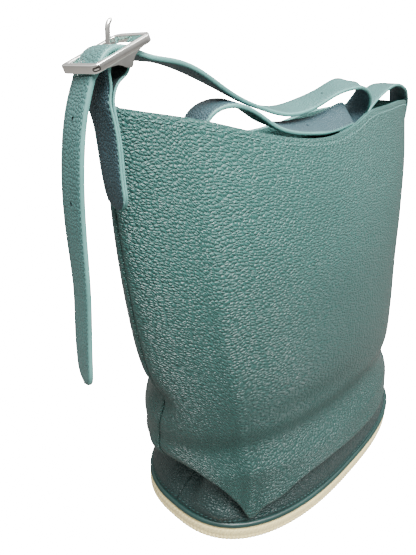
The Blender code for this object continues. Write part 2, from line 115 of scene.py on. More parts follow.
# the mouth's height at places along it
RIM_PLACES = np.array([-0.187, -0.135, -0.097, -0.060, -0.025, 0.010, 0.043, 0.097, 0.144, 0.185])
RIM_FRONT = np.array([0.302, 0.2945, 0.287, 0.282, 0.2812, 0.286, 0.2942, 0.2988, 0.301, 0.298])
RIM_BACK = np.array([0.301, 0.290, 0.284, 0.280, 0.279, 0.283, 0.290, 0.296, 0.300, 0.298])

BAR_CENTRE = Vector((-0.1815, 0.0, 0.3220))
FRAME_TILT = math.radians(25.5)

# ---- the camera ----
CAMERA_PLACE = (-0.3222, -0.1923, 0.3154)
CAMERA_YAW = math.radians(47.74)
CAMERA_PITCH = math.radians(23.08)
CAMERA_ROLL = math.radians(-1.72)
CAMERA_LENS = 30.49


def make_camera():
    data = bpy.data.cameras.new("photo_view")
    data.lens = CAMERA_LENS
    data.clip_start = 0.01
    data.clip_end = 20
    camera = bpy.data.objects.new("photo_view", data)
    bpy.context.scene.collection.objects.link(camera)
    forward = Vector(
        (
            math.sin(CAMERA_YAW) * math.cos(CAMERA_PITCH),
            math.cos(CAMERA_YAW) * math.cos(CAMERA_PITCH),
            -math.sin(CAMERA_PITCH),
        )
    )
    level = Vector((math.cos(CAMERA_YAW), -math.sin(CAMERA_YAW), 0.0))
    down = forward.cross(level)
    right = math.cos(CAMERA_ROLL) * level + math.sin(CAMERA_ROLL) * down
    under = math.cos(CAMERA_ROLL) * down - math.sin(CAMERA_ROLL) * level
    turn = Matrix((right, -under, -forward)).transposed()
    camera.matrix_world = Matrix.Translation(CAMERA_PLACE) @ turn.to_4x4()
    bpy.context.scene.camera = camera


make_camera()


# ---- material helpers ----
class Nodes:
    """A short way to write the node tree of a material or of the world."""

    def __init__(self, name, world=False):
        self.owner = (bpy.data.worlds if world else bpy.data.materials).new(name)
        self.owner.use_nodes = True
        self.tree = self.owner.node_tree
        self.shader = self.tree.nodes["Background" if world else "Principled BSDF"]

    def shade(self, **inputs):
        """Sets constants on the shader's own sockets, and links the rest."""
        for key, value in inputs.items():
            self.feed(self.shader.inputs[key.replace("_", " ")], value)

    def add(self, kind, settings=(), **inputs):
        node = self.tree.nodes.new(kind)
        for key, value in dict(settings).items():
            setattr(node, key, value)
        for key, value in inputs.items():
            self.feed(node.inputs[key.replace("_", " ")], value)
        return node

    def feed(self, socket, value):
        if isinstance(value, bpy.types.NodeSocket):
            self.tree.links.new(value, socket)
        else:
            socket.default_value = value

    def math(self, operation, a, b=0.0):
        node = self.add("ShaderNodeMath", {"operation": operation})
        self.feed(node.inputs[0], a)
        self.feed(node.inputs[1], b)
        return node.outputs[0]

    def ramp(self, value, low, high, to_low=0.0, to_high=1.0):
        limits = {"From_Min": low, "From_Max": high, "To_Min": to_low, "To_Max": to_high}
        node = self.add("ShaderNodeMapRange", {"interpolation_type": "SMOOTHSTEP"}, Value=value, **limits)
        return node.outputs["Result"]

    def mix(self, share, a, b):
        node = self.add("ShaderNodeMix", {"data_type": "RGBA"}, Factor=share, A=a, B=b)
        return node.outputs["Result"]

    def cells(self, vector, scale, feature):
        settings = {"voronoi_dimensions": "2D", "feature": feature}
        node = self.add("ShaderNodeTexVoronoi", settings, Vector=vector, Scale=scale)
        return node.outputs["Distance"]

    def place(self):
        return self.add("ShaderNodeTexCoord").outputs["Object"]

    def noise(self, vector, scale, detail=3.0, roughness=0.5, distortion=0.0):
        inputs = {"Scale": scale, "Detail": detail, "Roughness": roughness, "Distortion": distortion}
        return self.add("ShaderNodeTexNoise", Vector=vector, **inputs).outputs["Fac"]

    def bump(self, height, strength, distance):
        node = self.add("ShaderNodeBump", Strength=strength, Distance=distance, Height=height)
        return node.outputs["Normal"]


def dim(colour, share):
    return [c * share for c in colour[:3]] + [1.0]


def leather(name, colour, crease_and_shade, grain=0.0024, depth=0.0005, stretch=1.3, rough=0.40, foot_shade_tone=1.0):
    """Pebbled leather in the sheet's own flat coordinates; its last value darkens the colour towards the
    base, as painted shade.
    """
    n = Nodes(name)
    flat = n.add("ShaderNodeUVMap").outputs["UV"]
    wander = n.add("ShaderNodeTexNoise", {"noise_dimensions": "2D"}, Scale=170.0, Detail=2.0, Vector=flat)
    colours = {"Color1": flat, "Color2": wander.outputs["Color"]}
    shifted = n.add("ShaderNodeMixRGB", {"blend_type": "LINEAR_LIGHT"}, Fac=grain * 0.42, **colours)
    placed = n.add("ShaderNodeMapping", Scale=(1.0 / stretch, stretch, 1.0), Vector=shifted.outputs["Color"])
    edge = n.cells(placed.outputs["Vector"], 1.0 / grain, "DISTANCE_TO_EDGE")
    middle = n.cells(placed.outputs["Vector"], 1.0 / grain, "F1")
    fine = n.cells(placed.outputs["Vector"], 2.3 / grain, "DISTANCE_TO_EDGE")
    broad = n.noise(flat, 28.0, 2.0)
    pebble = n.ramp(edge, 0.0, 0.30)
    small = n.ramp(fine, 0.0, 0.16)
    dome = n.ramp(middle, 0.0, 0.75, 1.0, 0.0)
    height = n.math("MULTIPLY", pebble, n.ramp(broad, 0.25, 0.70, 0.65, 1.0))
    height = n.math("ADD", n.math("MULTIPLY", height, 0.55), n.math("MULTIPLY", dome, 0.65))
    height = n.math("ADD", height, n.math("MULTIPLY", small, 0.08))
    pores = n.noise(flat, 2600.0, 2.0)
    height = n.math("ADD", height, n.math("MULTIPLY", pores, 0.05))
    n.shade(Normal=n.bump(height, 1.0, depth))
    # the valleys between pebbles take the crease colour: the grain's darker creases together with painted
    # shade
    valley = n.ramp(edge, 0.0, 0.10, 1.0, 0.0)
    patch = n.mix(n.ramp(broad, 0.3, 0.7), dim(colour, 0.88), colour)
    # painted shade: the colour darkens towards the base, where the lower body lies in shade
    if foot_shade_tone < 1.0:
        height_up = n.add("ShaderNodeSeparateXYZ")
        n.feed(height_up.inputs[0], n.place())
        painted_foot_shade = dim(colour, foot_shade_tone)
        patch = n.mix(n.ramp(height_up.outputs["Z"], 0.11, 0.26), painted_foot_shade, patch)
    shade = n.mix(n.math("MULTIPLY", valley, 0.55), patch, crease_and_shade)
    n.shade(Base_Color=shade)
    n.shade(Roughness=n.ramp(valley, 0.0, 1.0, rough, rough + 0.22))
    n.shade(Specular_IOR_Level=0.55)
    n.shade(Sheen_Weight=0.03)
    n.shade(Sheen_Roughness=0.4)
    return n.owner


def smooth_leather(name, colour, rough=0.38, scale=900.0):
    """Painted or folded leather with only a fine tooth."""
    n = Nodes(name)
    place = n.place()
    broad = n.noise(place, 60.0, 2.0)
    tooth = n.noise(place, scale, 3.0)
    n.shade(Normal=n.bump(tooth, 0.6, 0.00012))
    low = dim(colour, 0.80)
    n.shade(Base_Color=n.mix(n.ramp(broad, 0.3, 0.7), low, colour))
    n.shade(Roughness=n.ramp(tooth, 0.3, 0.7, rough - 0.05, rough + 0.08))
    n.shade(Specular_IOR_Level=0.5)
    return n.owner


def thread(name, colour):
    n = Nodes(name)
    place = n.place()
    twist = n.add("ShaderNodeTexWave", {"bands_direction": "DIAGONAL"}, Scale=700.0, Vector=place)
    n.shade(Normal=n.bump(twist.outputs["Fac"], 0.7, 0.0001))
    low = dim(colour, 0.7)
    n.shade(Base_Color=n.mix(twist.outputs["Fac"], low, colour))
    n.shade(Roughness=0.55)
    return n.owner


def jute(name, colour, dark):
    """Cream braid: fine fibres along the strands, with painted shade where strands meet."""
    n = Nodes(name)
    flat = n.add("ShaderNodeUVMap").outputs["UV"]
    place = n.place()
    stretched = n.add("ShaderNodeMapping", Rotation=(0.0, 0.0, 0.7), Scale=(0.25, 1.6, 1.0), Vector=flat)
    fibre = n.noise(stretched.outputs["Vector"], 2600.0, 4.0, 0.65)
    fuzz = n.noise(place, 1500.0, 3.0, 0.7)
    broad = n.noise(place, 90.0, 2.0)
    groove_shade = n.add("ShaderNodeAttribute", {"attribute_name": "groove_shade"}).outputs["Fac"]
    tint = n.mix(n.ramp(broad, 0.3, 0.7), dim(colour, 0.93), colour)
    tint = n.mix(n.ramp(fibre, 0.35, 0.75, 0.35, 0.0), tint, dark)
    # painted shade in the grooves where the strands meet
    tint = n.mix(n.math("MULTIPLY", groove_shade, 0.7), tint, dark)
    n.shade(Base_Color=tint)
    height = n.math("ADD", n.math("MULTIPLY", fibre, 1.0), n.math("MULTIPLY", fuzz, 0.5))
    n.shade(Normal=n.bump(height, 0.8, 0.0003))
    n.shade(Roughness=n.ramp(fuzz, 0.3, 0.7, 0.80, 0.95))
    n.shade(Sheen_Weight=0.25)
    return n.owner


def plated(name, colour):
    """Polished plate with faint wiping marks."""
    n = Nodes(name)
    place = n.place()
    marks = n.noise(place, 420.0, 4.0, 0.7, 0.6)
    broad = n.noise(place, 70.0, 2.0)
    n.shade(Roughness=n.ramp(marks, 0.35, 0.75, 0.09, 0.20))
    low = dim(colour, 0.93)
    n.shade(Base_Color=n.mix(n.ramp(broad, 0.3, 0.7), low, colour))
    n.shade(Normal=n.bump(marks, 0.15, 0.00005))
    n.shade(Metallic=1.0)
    return n.owner


def board(name, colour):
    n = Nodes(name)
    place = n.place()
    fibre = n.noise(place, 700.0, 5.0, 0.7)
    low = dim(colour, 0.6)
    n.shade(Base_Color=n.mix(fibre, low, colour))
    n.shade(Normal=n.bump(fibre, 0.6, 0.0003))
    n.shade(Roughness=0.9)
    return n.owner


# ---- colours and light ----
GREEN = (0.023, 0.102, 0.088, 1.0)
# the colour of the grain's valleys: the leather's own darker creases together with painted shade
GREEN_CREASE_AND_SHADE = (0.006, 0.032, 0.030, 1.0)
STRAP_GREEN = (0.056, 0.175, 0.165, 1.0)
BAND_GREEN = (0.004, 0.026, 0.024, 1.0)
EDGE_GREEN = (0.110, 0.290, 0.265, 1.0)
WELT_GREEN = (0.010, 0.043, 0.038, 1.0)
THREAD_GREEN = (0.160, 0.360, 0.340, 1.0)
# a darker, bluish copy of the strap green for faces that lie in shade: painted shade and a painted bluish
# reflection
SHADED_UNDER_GREEN = (0.032, 0.080, 0.098, 1.0)
FLOOR_GLOW = 30.0
FLOOR_BOUNCE = (0.22, 0.21, 0.20, 1.0)
WALL_LIGHT = 0.10
ROOF_LIGHT = 1.60
WHITE_WALL = 30.0
CREAM = (1.000, 0.880, 0.420, 1.0)
CREAM_DARK = (0.840, 0.660, 0.280, 1.0)

# the last value paints shade that darkens the body towards its base
body_leather = leather("pebbled_leather", GREEN, GREEN_CREASE_AND_SHADE, 0.0024, 0.00065, 1.35, 0.36, 0.55)
inner_leather = leather("inner_leather", GREEN, GREEN_CREASE_AND_SHADE, 0.0022, 0.0004, 1.1, 0.55)
band_leather = leather("band_leather", BAND_GREEN, GREEN_CREASE_AND_SHADE, 0.0024, 0.0005, 1.2, 0.40)
strap_face = leather("strap_leather", STRAP_GREEN, GREEN_CREASE_AND_SHADE, 0.0018, 0.00035, 1.1, 0.40)
strap_under = leather("strap_under", SHADED_UNDER_GREEN, GREEN_CREASE_AND_SHADE, 0.0016, 0.0004, 1.0, 0.50)
edge_paint = smooth_leather("edge_paint", EDGE_GREEN, 0.42)
welt_skin = smooth_leather("welt_leather", WELT_GREEN, 0.36, 700.0)
light_thread = thread("light_thread", THREAD_GREEN)
band_thread = thread("band_thread", (0.022, 0.075, 0.070, 1.0))
raw_edge = smooth_leather("raw_edge", (0.010, 0.022, 0.024, 1.0), 0.7)
seam_thread = thread("seam_thread", (0.110, 0.250, 0.230, 1.0))
sole_jute = jute("rope", CREAM, CREAM_DARK)
silver = plated("polished_metal", (0.99, 0.97, 0.92, 1.0))
dark_metal = plated("dark_metal", (0.16, 0.15, 0.15, 1.0))
floor_leather = smooth_leather("lining_leather", (0.020, 0.060, 0.056, 1.0), 0.6)
brown_board = board("fibreboard", (0.34, 0.26, 0.17, 1.0))


# ---- mesh helpers ----
def new_object(name, mesh):
    made = bpy.data.objects.new(name, mesh)
    bpy.context.scene.collection.objects.link(made)
    return made


def grid_mesh(name, points, flat, looks, look_of=None):
    """A mesh over a grid of points, with flat coordinates in metres for the grain."""
    rows, columns = points.shape[:2]
    mesh = bpy.data.meshes.new(name)
    index = np.arange(rows * columns).reshape(rows, columns)
    a = index[:-1, :-1]
    b = index[:-1, 1:]
    c = index[1:, 1:]
    d = index[1:, :-1]
    faces = np.stack([a, b, c, d], -1)
    corners = np.stack([flat[:-1, :-1], flat[:-1, 1:], flat[1:, 1:], flat[1:, :-1]], 2)
    faces = faces.reshape(-1, 4)
    corners = corners.reshape(-1, 4, 2)
    mesh.from_pydata(points.reshape(-1, 3).tolist(), [], faces.tolist())
    layer = mesh.uv_layers.new(name="flat")
    layer.data.foreach_set("uv", corners.ravel().astype(np.float32))
    for look in looks:
        mesh.materials.append(look)
    if look_of is not None:
        kinds = np.broadcast_to(look_of, (rows - 1, columns - 1)).ravel()
        mesh.polygons.foreach_set("material_index", kinds.astype(np.int32))
    mesh.shade_smooth()
    return new_object(name, mesh)


def clean(mesh, weld=None, cap_look=0):
    """Turns the faces outwards; with a weld distance, also joins close points and fills open rims."""
    shape = bmesh.new()
    shape.from_mesh(mesh)
    if weld is not None:
        bmesh.ops.remove_doubles(shape, verts=shape.verts, dist=weld)
        rims = [e for e in shape.edges if e.is_boundary]
        for cap in bmesh.ops.holes_fill(shape, edges=rims, sides=0)["faces"]:
            cap.material_index = cap_look
    bmesh.ops.recalc_face_normals(shape, faces=shape.faces)
    shape.to_mesh(mesh)
    shape.free()


def soften(made, degrees):
    """Smooth shading, with edges sharper than an angle kept."""
    made.data.shade_smooth()
    made.data.set_sharp_from_angle(angle=math.radians(degrees))


def tube_faces(first, rings, sides):
    """The faces of a tube made of rings of points, with a cap at each end."""
    faces = []
    for i in range(rings - 1):
        for k in range(sides):
            a = first + i * sides + k
            b = first + i * sides + (k + 1) % sides
            faces.append((a, b, b + sides, a + sides))
    last = first + (rings - 1) * sides
    faces.append(tuple(range(first + sides - 1, first - 1, -1)))
    faces.append(tuple(range(last, last + sides)))
    return faces


def running(steps):
    """Running totals that start at nothing."""
    return np.concatenate([[0.0], np.cumsum(steps)])


def at_run(at, run, values):
    """The point that lies at a run along a row of points."""
    return np.array([np.interp(at, run, values[:, k]) for k in range(3)])


def natural_spline(points, spacing):
    """Points a fixed spacing apart on a smooth curve through given ones."""
    p = np.array(points, float)
    t = running(np.linalg.norm(np.diff(p[:, :3], axis=0), axis=1))
    n = len(p)
    h = np.diff(t)
    system = np.zeros((n, n))
    wanted = np.zeros((n, p.shape[1]))
    system[0, 0] = system[-1, -1] = 1.0
    for i in range(1, n - 1):
        system[i, i - 1] = h[i - 1]
        system[i, i] = 2 * (h[i - 1] + h[i])
        system[i, i + 1] = h[i]
        wanted[i] = 6 * ((p[i + 1] - p[i]) / h[i] - (p[i] - p[i - 1]) / h[i - 1])
    curve = np.linalg.solve(system, wanted)
    count = max(2, round(t[-1] / spacing))
    out = []
    for s in np.linspace(0, t[-1], count + 1):
        i = min(int(np.searchsorted(t, s, side="right")) - 1, n - 2)
        a = (t[i + 1] - s) / h[i]
        b = (s - t[i]) / h[i]
        value = a * p[i] + b * p[i + 1]
        value += ((a**3 - a) * curve[i] + (b**3 - b) * curve[i + 1]) * h[i] ** 2 / 6
        out.append(value)
    return np.array(out)


def strap_axes(line):
    """Across and up for each point of a strap's line of (x, y, z, bank)."""
    along = np.gradient(line[:, :3], axis=0)
    along /= np.linalg.norm(along, axis=1)[:, None]
    across = np.array((0.0, 1.0, 0.0)) - along[:, 1:2] * along
    across /= np.linalg.norm(across, axis=1)[:, None]
    up = np.cross(along, across)
    banked = np.cos(line[:, 3:4]) * across + np.sin(line[:, 3:4]) * up
    return banked, np.cross(along, banked)


def run_of(line):
    return running(np.linalg.norm(np.diff(line[:, :3], axis=0), axis=1))


def strap_section(thickness):
    """The strap's outline as (across share, up in metres), round-edged and softly crowned."""
    half = STRAP_WIDTH / 2
    t = thickness / 2
    edge = min(t, 0.0007)
    top = []
    for share in (-0.925, -0.90, -STITCH_SHARE, -0.84, -0.5, 0.0, 0.5, 0.84, STITCH_SHARE, 0.90, 0.925):
        crown = 0.00015 * (1 - share**2)
        groove = STITCH_GROOVE if abs(share) == STITCH_SHARE else 0.0
        top.append((share, t - 0.00010 + crown - groove))
    right = []
    for k in range(7):
        angle = math.pi / 2 - math.pi * k / 6
        right.append((1 - edge / half * (1 - math.cos(angle)), t * math.sin(angle) * 0.96))
    bottom = [(share, -up) for share, up in reversed(top)]
    left = [(-share, -up) for share, up in right]
    return top + right + bottom + left


FACE_TOP = 0
FACE_EDGE = 1
FACE_UNDER = 2


def strap_piece(name, line, thickness, round_start=False, round_end=False, looks=None):
    """A sewn strap with painted edges along a line of (x, y, z, bank)."""
    across, up = strap_axes(line)
    run = run_of(line)
    section = strap_section(thickness)
    half = STRAP_WIDTH / 2
    count = len(section)
    wide = np.full(len(line), 1.0)
    for flag, left in ((round_start, run), (round_end, run[-1] - run)):
        if flag:
            inside = np.clip(1 - left / half, 0, 1)
            wide = np.minimum(wide, np.sqrt(np.maximum(1 - inside**2, 0.0009)))
    rings = []
    flats = []
    for i in range(len(line)):
        ring = []
        flat = []
        for share, lift in section + section[:1]:
            place = line[i, :3] + across[i] * share * half * wide[i] + up[i] * lift
            ring.append(place)
            flat.append((share * half * wide[i] + (0.05 if lift < 0 else 0.0), run[i]))
        rings.append(ring)
        flats.append(flat)
    kinds = []
    for j in range(count):
        a = section[j]
        b = section[(j + 1) % count]
        if min(abs(a[0]), abs(b[0])) >= 0.92:
            kinds.append(FACE_EDGE)
        elif a[1] > 0:
            kinds.append(FACE_TOP)
        else:
            kinds.append(FACE_UNDER)
    # the strap's underside takes the darker copy of the strap leather: painted shade
    looks = looks or [strap_face, edge_paint, strap_under]
    made = grid_mesh(name, np.array(rings), np.array(flats), looks, np.array([kinds]))
    clean(made.data, 1e-7, FACE_EDGE)
    soften(made, 60)
    return made


def stitches(name, places, look, length=0.0024, radius=0.00036, tilt=0.0):
    """One mesh of thread stitches, each a plump grain that dips at both ends."""
    sides = 6
    stations = (-1.0, -0.75, 0.0, 0.75, 1.0)
    points = []
    faces = []
    for place, way, out in places:
        way = np.array(way) / np.linalg.norm(way)
        out = np.array(out) - np.dot(out, way) * way
        out /= np.linalg.norm(out)
        side = np.cross(out, way)
        way = way * math.cos(tilt) + side * math.sin(tilt)
        side = np.cross(out, way)
        first = len(points)
        for s in stations:
            thick = radius * math.sqrt(max(0.06, 1 - s * s * 0.94))
            lift = radius * 0.55 - radius * 1.6 * s**4
            for k in range(sides):
                a = math.tau * k / sides
                radial = math.cos(a) * side + math.sin(a) * out
                points.append(np.array(place) + way * s * length / 2 + out * lift + radial * thick)
        faces += tube_faces(first, len(stations), sides)
    mesh = bpy.data.meshes.new(name)
    mesh.from_pydata([tuple(p) for p in points], [], faces)
    mesh.materials.append(look)
    mesh.shade_smooth()
    return new_object(name, mesh)


def along_line(points, normals, pitch, start=0.0, end=None):
    """Stitch places every pitch along a polyline."""
    run = run_of(np.hstack([points, np.zeros((len(points), 1))]))
    end = run[-1] if end is None else end
    places = []
    at = start
    while at < end:
        way = at_run(at + 0.0015, run, points) - at_run(at - 0.0015, run, points)
        places.append((at_run(at, run, points), way, at_run(at, run, normals)))
        at += pitch
    return places


def strap_stitches(line, thickness, faces=(1, -1), start=0.002, stop=0.002):
    """Two rows of stitches on each face of a strap."""
    across, up = strap_axes(line)
    run = run_of(line)
    places = []
    for face in faces:
        for share in (-STITCH_SHARE, STITCH_SHARE):
            lift = thickness / 2 - STITCH_GROOVE
            path = line[:, :3] + across * share * STRAP_WIDTH / 2 + up * lift * face
            places += along_line(path, up * face, STRAP_PITCH, start, run[-1] - stop)
    return places


# ---- the body's shape ----
def smooth(at, places, values):
    """A value between stated ones, eased by a cubic through them."""
    at = np.clip(at, places[0], places[-1])
    i = np.clip(np.searchsorted(places, at, side="right") - 1, 0, len(values) - 2)
    slopes = np.gradient(values, places)
    step = places[i + 1] - places[i]
    t = (at - places[i]) / step
    start = (2 * t**3 - 3 * t**2 + 1) * values[i] + (t**3 - 2 * t**2 + t) * step * slopes[i]
    end = (3 * t**2 - 2 * t**3) * values[i + 1] + (t**3 - t**2) * step * slopes[i + 1]
    return start + end


def smooth_value(height, values):
    return smooth(height, BODY_HEIGHTS, values)


def body_point(share, height, side):
    """A point of the body's section: share runs from the left end, 0, to the right, 1."""
    c = -np.cos(np.pi * share)
    reach_x = np.where(c < 0, smooth_value(height, BODY_LEFT), smooth_value(height, BODY_RIGHT))
    x = c * reach_x
    curve = np.maximum(0.0, 1.0 - np.abs(c) ** smooth_value(height, BODY_POWER))
    reach = curve ** smooth_value(height, BODY_ROUND)
    depth = smooth_value(height, BODY_HALF_DEPTH)
    depth = SEAM_ROUND + (depth - SEAM_ROUND) * reach
    left = smooth_value(height, SEAM_LEFT)
    right = smooth_value(height, SEAM_RIGHT)
    middle = left + (right - left) * (1 + c) / 2
    y = middle + side * depth
    for z, tall, wide, inward, backward in NIPS_LEFT:
        nip = hump(height, z, tall) * hump(share, 0.0, wide)
        x = x + inward * nip
        y = y + backward * nip
    return np.stack([x, y, height + 0 * x], -1)


def base_point(share, offset, height, side):
    """A point on the base's rounded outline, moved out by offset."""
    angle = np.pi * (1.0 - share)
    c = np.cos(angle)
    s = np.sin(angle)
    x = (BASE_LENGTH / 2 + offset) * np.sign(c) * np.abs(c) ** (2 / BASE_POWER)
    y = (BASE_DEPTH / 2 + offset) * np.abs(s) ** (2 / BASE_POWER)
    y = y + BAND_SEAM_ROUND * hump(share * (1 - share), 0.0, 0.03)
    return np.stack([x, side * y, height + 0 * x], -1)


def rim_height(x, side):
    """The mouth sags between the two ends."""
    return smooth(x, RIM_PLACES, RIM_FRONT if side < 0 else RIM_BACK)


def hump(value, centre, spread):
    """A soft rise from 0 to 1 and back."""
    return np.exp(-(((value - centre) / spread) ** 2))


def fold_height(share, side):
    """How low the slack leather hangs over the band."""
    return smooth(share, FOLD_SHARES, FOLD_FRONT if side < 0 else FOLD_BACK)


def outwards(row, side):
    """The level direction out of a row of points that runs from the left end to the right."""
    way = np.gradient(row[:, :2], axis=0)
    way /= np.maximum(np.linalg.norm(way, axis=1), 1e-9)[:, None]
    out = np.stack([way[:, 1], -way[:, 0], np.zeros(len(row))], -1)
    return out if side < 0 else -out


def panel_face(side):
    """The outer face of a panel from the lowest line of its fold up to the rim."""
    shares = np.linspace(0, 1, PANEL_ACROSS + 1)
    low = fold_height(shares, side)
    out = smooth(shares, OUT_SHARES, FOLD_OUT if side < 0 else FOLD_OUT_BACK)
    lip = base_point(shares, out - LIP, low, side)
    rows = []
    for k in range(PANEL_ROLL + PANEL_UP + 1):
        top_x = body_point(shares, np.full_like(shares, RIM_HEIGHT), side)[:, 0]
        top = rim_height(top_x, side)
        if k <= PANEL_ROLL:
            angle = math.pi / 2 * k / PANEL_ROLL
            height = low + ROLL_HEIGHT * (1 - math.cos(angle))
            pull = 1 - math.sin(angle)
        else:
            height = low + ROLL_HEIGHT + (top - low - ROLL_HEIGHT) * (k - PANEL_ROLL) / PANEL_UP
            pull = 0.0
        row = body_point(shares, height, side)
        near = np.clip(1 - (height - low) / 0.030, 0, 1) ** 2
        bottom = base_point(shares, out, height, side)
        row = row * (1 - near[:, None]) + bottom * near[:, None]
        row = row * (1 - pull) + lip * pull
        row[:, 2] = height
        rows.append(row)
    return dents(np.array(rows), shares, side), shares, low


def dents(points, shares, side):
    """Soft rises and hollows, moved square to the panel: (x, z, spread x, spread z, height)."""
    marks = DENTS_FRONT if side < 0 else DENTS_BACK
    across = np.gradient(points, axis=1)
    upward = np.gradient(points, axis=0)
    normal = np.cross(across, upward)
    normal /= np.maximum(np.linalg.norm(normal, axis=2), 1e-12)[..., None]
    if side > 0:
        normal = -normal
    move = np.zeros(points.shape[:2])
    for x, z, wide, tall, height in marks:
        move += height * hump(points[..., 0], x, wide) * hump(points[..., 2], z, tall)
    move *= 1 - hump(shares, 0.0, 0.02) - hump(shares, 1.0, 0.02)
    return points + normal * move[..., None]


def seam_turn(rows, side, radius, depth=0.0040):
    """Turns both ends of every row inwards, where a panel is sewn to its neighbour."""
    turned = []
    for row in rows:
        first = row[0]
        last = row[-1]
        left = []
        right = []
        for k in range(1, 6):
            angle = math.pi / 2 * k / 5
            ahead = radius * math.sin(angle) * 0.985
            inward = radius * (1 - math.cos(angle))
            left.append(first + (inward, -side * ahead, 0))
            right.append(last + (-inward, -side * ahead, 0))
        left.append(left[-1] + (depth, 0, 0))
        right.append(right[-1] + (-depth, 0, 0))
        turned.append(np.concatenate([np.array(left)[::-1], row, np.array(right)]))
    return np.array(turned)


def at_height(face, height):
    """Each column's point at a height, on a face whose columns rise steadily."""
    row = np.empty((face.shape[1], 3))
    for j in range(face.shape[1]):
        row[j] = at_run(height[j], face[:, j, 2], face[:, j])
    return row


def panel_piece(name, side, nodes):
    """One panel: its face, and the part turned under the fold."""
    face, _, low = panel_face(side)
    rows = []
    # the turned-under part, from the hidden seam down to the lowest line of the fold
    for inset, lift in ((0.0062, 1.0), (0.0066, 0.7), (0.0070, 0.45), (0.0070, 0.25), (0.0056, 0.08)):
        height = low + 0.0004 + (np.maximum(low + 0.004, SEAM_HEIGHT) - low) * lift
        row = at_height(face, height)
        rows.append(row - outwards(row, side) * inset)
    points = np.concatenate([np.array(rows), face])
    points = seam_turn(points, side, SEAM_ROUND)
    flats = flat_map(points)
    sheet_piece(name, points, flats, side, [body_leather, inner_leather, edge_paint], nodes)


def flat_map(points):
    """Flat coordinates in metres: x along the panel, and the run up it."""
    steps = np.linalg.norm(np.diff(points, axis=0), axis=2).mean(axis=1)
    rise = running(steps)
    middle = points[len(points) // 2]
    wide = running(np.linalg.norm(np.diff(middle, axis=0), axis=1))
    u, v = np.meshgrid(wide, rise)
    return np.stack([u, v], -1)


def sheet_piece(name, points, flats, side, looks, nodes, thickness=LEATHER):
    """A sheet of leather: its outer face as given, thickness inwards, and painted edges."""
    if side > 0:
        points = points[::-1]
        flats = flats[::-1]
    made = grid_mesh(name, points, flats, looks)
    shell = made.modifiers.new("leather", "SOLIDIFY")
    shell.thickness = thickness
    shell.offset = -1.0
    shell.use_even_offset = False
    shell.material_offset = 1
    shell.material_offset_rim = 2
    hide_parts(*nodes)
    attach(made, "bag")
    return made


panel_piece("front_skin", -1, ["front_panel"])
panel_piece("back_skin", 1, ["back_panel"])


# ---- the band, the welt and the sole ----
BAND_COLUMNS = 181
BAND_LEVELS = np.linspace(0.0150, SEAM_HEIGHT + 0.002, 31)


def band_offsets(side):
    """How far the band leans in at each height to stay behind the slumped body."""
    face, columns, low = panel_face(side)
    shares = np.linspace(0, 1, BAND_COLUMNS)
    low = np.interp(shares, columns, low)
    row = base_point(shares, 0.0, np.zeros(BAND_COLUMNS), side)
    out = outwards(row, side)[:, :2]
    along = np.stack([-out[:, 1], out[:, 0]], -1) * -side
    heights = np.linspace(0.020, SEAM_HEIGHT + 0.002, 18)
    room = np.empty((len(heights), BAND_COLUMNS))
    for k, height in enumerate(heights):
        section = at_height(face, np.full(face.shape[1], height))[:, :2]
        for i in range(BAND_COLUMNS):
            forward = (section - row[i, :2]) @ along[i]
            ahead = (section - row[i, :2]) @ out[i]
            near = np.abs(forward) < 0.03
            order = np.argsort(forward[near])
            room[k, i] = np.interp(0.0, forward[near][order], ahead[near][order]) - 0.0095
    slack = smooth(shares, BAND_SHARES, BAND_LEAN_FRONT if side < 0 else BAND_LEAN_BACK)
    soft = np.exp(-((np.arange(-9, 10) / 4.0) ** 2))
    soft /= soft.sum()
    offsets = []
    for height in BAND_LEVELS:
        level = np.maximum(height, low)
        free = np.array([np.interp(level[i], heights, room[:, i]) for i in range(BAND_COLUMNS)])
        offset = np.minimum(free, slack)
        padded = np.concatenate([offset[9:0:-1], offset, offset[-2:-11:-1]])
        offset = np.minimum(np.convolve(padded, soft, "valid"), slack)
        rise = (height - BAND_LEVELS[0]) / np.maximum(np.maximum(low, 0.030) - BAND_LEVELS[0], 0.010)
        rise = np.clip(rise, 0, 1)
        puff = 0.0010 * np.sin(math.pi * rise)
        if side < 0:
            puff = puff + BAND_BULGE * hump(shares, 0.135, 0.055) * hump(height, 0.0250, 0.0060)
        offsets.append(-0.0008 + offset * rise * rise * (3 - 2 * rise) + puff)
    return np.array(offsets)


def band_faces():
    """Both halves of the band, brought together where they are sewn."""
    shares = np.linspace(0, 1, BAND_COLUMNS)
    halves = {side: band_offsets(side) for side in (-1, 1)}
    joined = np.minimum(halves[-1], halves[1])
    faces = {}
    for side, offsets in halves.items():
        left = hump(shares, 0.0, 0.03)
        right = hump(shares, 1.0, 0.03)
        offsets = offsets * (1 - left - right) + joined[:, :1] * left + joined[:, -1:] * right
        rows = []
        for height, offset in zip(BAND_LEVELS, offsets):
            row = base_point(shares, offset, np.full(BAND_COLUMNS, height), side)
            rise = (height - BAND_LEVELS[0]) / (BAND_LEVELS[-1] - BAND_LEVELS[0])
            row[:, 1] -= BAND_SEAM_SLANT * rise * hump(shares, 0.0, 0.10)
            rows.append(row)
        faces[side] = np.array(rows)
    return faces


def band_piece(name, side, node):
    points = seam_turn(BAND_FACES[side], side, BAND_SEAM_ROUND, 0.0025)
    looks = [band_leather, inner_leather, edge_paint]
    made = sheet_piece(name, points, flat_map(points), side, looks, [node], BAND_LEATHER)


BAND_FACES = band_faces()
band_piece("band_front_skin", -1, "band_front")
band_piece("band_back_skin", 1, "band_back")


